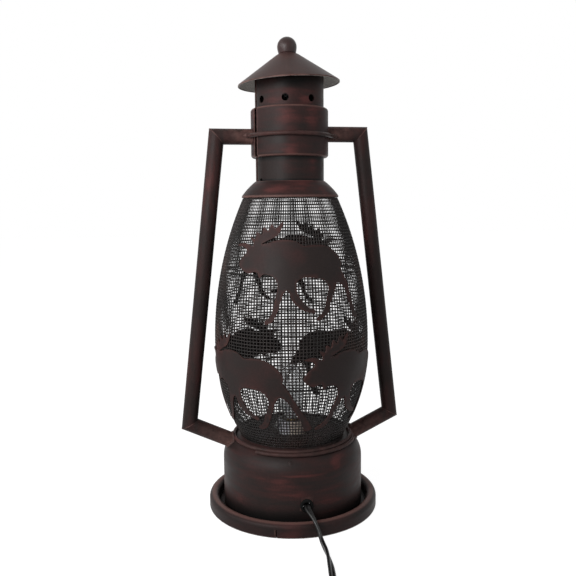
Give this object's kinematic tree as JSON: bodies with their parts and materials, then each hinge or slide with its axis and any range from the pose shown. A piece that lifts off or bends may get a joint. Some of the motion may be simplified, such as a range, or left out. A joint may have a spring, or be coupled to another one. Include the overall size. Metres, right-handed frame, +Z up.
{
  "type": "lantern table lamp",
  "caption": "Table lamp in the form of a lantern: wire cage with animal cut-outs, side tube frame, vented neck, conical cap, round base, clip-in bulb and switched cord.",
  "frame": {"origin": "centre of the base on the table, under the felt ring", "axes": "+Z up, X across the two side tubes, -Y towards the side where the cord leaves"},
  "size_m": [0.1966, 0.4022, 0.4082],
  "materials": {
    "bronze_sheet": "satin",
    "bronze_wire": "satin",
    "bronze_tube": "satin",
    "bronze_cutout": "satin",
    "bronze_ball": "satin",
    "wire_cloth": "satin",
    "felt": "matte",
    "plated_steel": "satin",
    "socket_black": "matte",
    "sleeve_board": "matte",
    "thin_brass": "satin",
    "clear_glass": "gloss",
    "base_brass": "satin",
    "filament": "satin",
    "black_nylon": "matte",
    "cord_black": "satin",
    "switch_black": "satin",
    "wheel_black": "satin",
    "tie_black": "matte",
    "plug_black": "satin",
    "blade_brass": "satin"
  },
  "bodies": {
    "lamp": {"tray_base": "bronze_sheet", "felt_ring": "felt", "drum_shell": "bronze_sheet", "base_ring": "bronze_wire", "mesh_cage": "wire_cloth", "upper_hoop": "wire_cloth", "lower_hoop": "wire_cloth", "upper_moose": "bronze_cutout", "lower_moose": "bronze_cutout", "shoulder_skirt": "bronze_sheet", "neck_tube": "bronze_sheet", "collar_sleeve": "bronze_sheet", "collar_wires": "bronze_wire", "left_top_arm": "bronze_tube", "left_post": "bronze_tube", "left_lower_arm": "bronze_tube", "right_top_arm": "bronze_tube", "right_post": "bronze_tube", "right_lower_arm": "bronze_tube", "cap_cone": "bronze_sheet", "cap_bar": "plated_steel", "cap_stud": "plated_steel", "stud_nuts": "plated_steel", "socket_clip": "plated_steel", "socket_body": "socket_black", "socket_sleeve": "sleeve_board", "socket_shell": "thin_brass", "socket_contact": "thin_brass", "cord_bushing": "black_nylon", "inner_lead": "cord_black", "cord_lead": "cord_black", "switch_base": "switch_black", "switch_cover": "switch_black", "switch_screw": "plated_steel", "cord_link": "cord_black", "cord_coil": "cord_black", "coil_tie": "tie_black", "cord_tail": "cord_black", "plug_body": "plug_black", "plug_blades": "blade_brass"},
    "bulb": {"bulb_glass": "clear_glass", "bulb_base": "base_brass", "bulb_filament": "filament"},
    "finial": {"finial_ball": "bronze_ball"},
    "wheel": {"switch_wheel": "wheel_black"}
  },
  "joints": [
    {"name": "bulb_turn", "type": "hinge", "parent": "lamp", "child": "bulb", "pos_m": [0, 0, 0.0685], "axis": [0, 0, 1], "range_deg": [0, 1080]},
    {"name": "finial_turn", "type": "hinge", "parent": "lamp", "child": "finial", "pos_m": [-0.00165, 0, 0.39996], "axis": [-0.0436, 0, 0.999], "range_deg": [0, 3600]},
    {"name": "wheel_turn", "type": "hinge", "parent": "lamp", "child": "wheel", "pos_m": [-0.00219, -0.20902, 0.0085], "axis": [0, 0, 1], "continuous": true}
  ]
}
